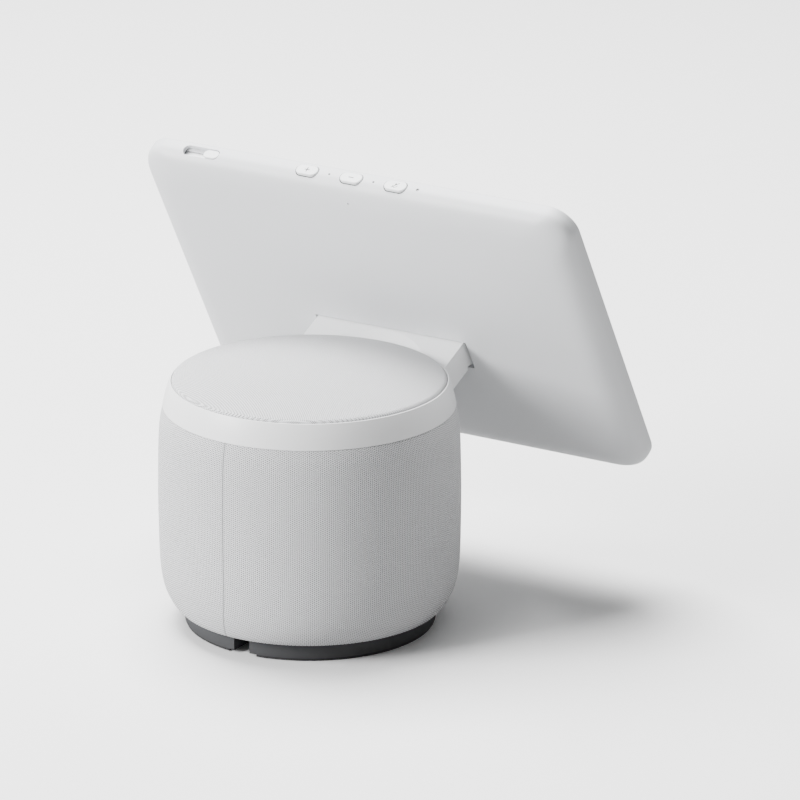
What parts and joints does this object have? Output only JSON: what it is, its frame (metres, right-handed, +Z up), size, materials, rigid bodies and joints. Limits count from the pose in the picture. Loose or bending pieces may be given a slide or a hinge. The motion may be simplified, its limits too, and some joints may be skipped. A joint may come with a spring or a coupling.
{
  "type": "smart speaker with screen",
  "caption": "Fabric-covered barrel speaker on a dark foot, with a turning collar and arm that carry a tilting rectangular screen, top-edge buttons and a camera shutter.",
  "frame": {"origin": "centre of the foot's resting face, on the swivel axis", "axes": "+Z up, the screen faces -Y, the cable notch is at +Y, +X is the camera shutter's side"},
  "size_m": [0.251, 0.2076, 0.2229],
  "materials": {
    "foot_rubber": "matt",
    "foot_plastic": "matt",
    "screws": "zinc plated",
    "ballast": "raw",
    "black_plastic": "matt",
    "inner_plastic": "moulded",
    "steel": "pressed",
    "paper_cone": "pulp",
    "surround_rubber": "matt",
    "ferrite": "sintered",
    "dome_cloth": "silk",
    "circuit_board": "solder mask",
    "alloy": "mill finish",
    "brass": "turned",
    "bearing_steel": "ground",
    "flex_film": "film",
    "fabric_pale": "knitted",
    "fabric_top": "knitted",
    "gear_plastic": "acetal",
    "collar_white": "satin",
    "shell_white": "satin",
    "cast_alloy": "cast",
    "display_panel": "dark display",
    "bezel_print": "printed",
    "cover_glass": "polished",
    "button_white": "satin",
    "light_pipe": "frosted",
    "lens_glass": "coated"
  },
  "bodies": {
    "base": {"foot_pad": "foot_rubber", "base_plate": "foot_plastic", "foot_screws": "screws", "ballast_plate": "ballast", "power_socket": "black_plastic", "lower_chassis": "inner_plastic", "speaker_enclosure": "inner_plastic", "woofer_basket": "steel", "woofer_cone": "paper_cone", "woofer_surround": "surround_rubber", "woofer_magnet": "ferrite", "tweeter_left": "black_plastic", "tweeter_right": "black_plastic", "tweeter_domes": "dome_cloth", "power_board": "circuit_board", "heat_sink": "alloy", "board_standoffs": "brass", "top_deck": "inner_plastic", "deck_screws": "screws", "motor_stator": "steel", "bearing_lower_race": "bearing_steel", "flex_cassette": "black_plastic", "spiral_flex": "flex_film", "grille_shell": "inner_plastic", "side_fabric": "fabric_pale"},
    "motor": {"motor_rotor": "steel", "motor_pinion": "gear_plastic"},
    "bearing_cage": {"ball_cage": "gear_plastic", "bearing_balls": "bearing_steel"},
    "head": {"bearing_upper_race": "bearing_steel", "turntable": "inner_plastic", "drive_gear": "gear_plastic", "collar_cover": "collar_white", "collar_screws": "screws", "arm_lower_cover": "shell_white", "arm_frame": "cast_alloy", "head_screws": "screws", "friction_clips": "steel", "arm_cable": "flex_film", "top_cap": "inner_plastic", "top_fabric": "fabric_top"},
    "screen": {"rear_housing": "shell_white", "mid_frame": "alloy", "screen_screws": "screws", "lcd_panel": "display_panel", "bezel_mask": "bezel_print", "cover_glass": "cover_glass", "main_board": "circuit_board", "heat_spreader": "alloy", "hinge_brackets": "steel", "tilt_shaft": "bearing_steel", "button_board": "circuit_board", "status_light": "light_pipe", "microphones": "alloy", "camera_module": "black_plastic", "camera_lens": "lens_glass"},
    "volume_up": {"volume_up_button": "button_white"},
    "volume_down": {"volume_down_button": "button_white"},
    "mic_off": {"mic_off_button": "button_white"},
    "shutter": {"camera_shutter": "button_white"}
  },
  "joints": [
    {"name": "base_swivel", "type": "hinge", "parent": "base", "child": "head", "pos_m": [0, 0, 0.104], "axis": [0, 0, 1], "range_deg": [-175, 175]},
    {"name": "motor_spin", "type": "hinge", "parent": "base", "child": "motor", "pos_m": [-0.03553, -0.01657, 0.1], "axis": [0, 0, 1], "range_deg": [-1051, 1051]},
    {"name": "cage_orbit", "type": "hinge", "parent": "base", "child": "bearing_cage", "pos_m": [0, 0, 0.104], "axis": [0, 0, 1], "range_deg": [-88, 88]},
    {"name": "screen_tilt", "type": "hinge", "parent": "head", "child": "screen", "pos_m": [0, -0.086, 0.1238], "axis": [1, 0, 0], "range_deg": [-1.5, 29.5]},
    {"name": "volume_up_press", "type": "slide", "parent": "screen", "child": "volume_up", "axis": [0, -0.4924, -0.8704], "range_m": [0, 0.0006], "stiffness_N_per_m": 400, "springref_m": -0.0008},
    {"name": "volume_down_press", "type": "slide", "parent": "screen", "child": "volume_down", "axis": [0, -0.4924, -0.8704], "range_m": [0, 0.0006], "stiffness_N_per_m": 400, "springref_m": -0.0008},
    {"name": "mic_off_press", "type": "slide", "parent": "screen", "child": "mic_off", "axis": [0, -0.4924, -0.8704], "range_m": [0, 0.0006], "stiffness_N_per_m": 400, "springref_m": -0.0008},
    {"name": "shutter_slide", "type": "slide", "parent": "screen", "child": "shutter", "axis": [1, 0, 0], "range_m": [0, 0.012]}
  ],
  "couplings": [
    {"joint": "motor_spin", "follows": "base_swivel", "ratio": -6},
    {"joint": "cage_orbit", "follows": "base_swivel", "ratio": 0.5}
  ]
}
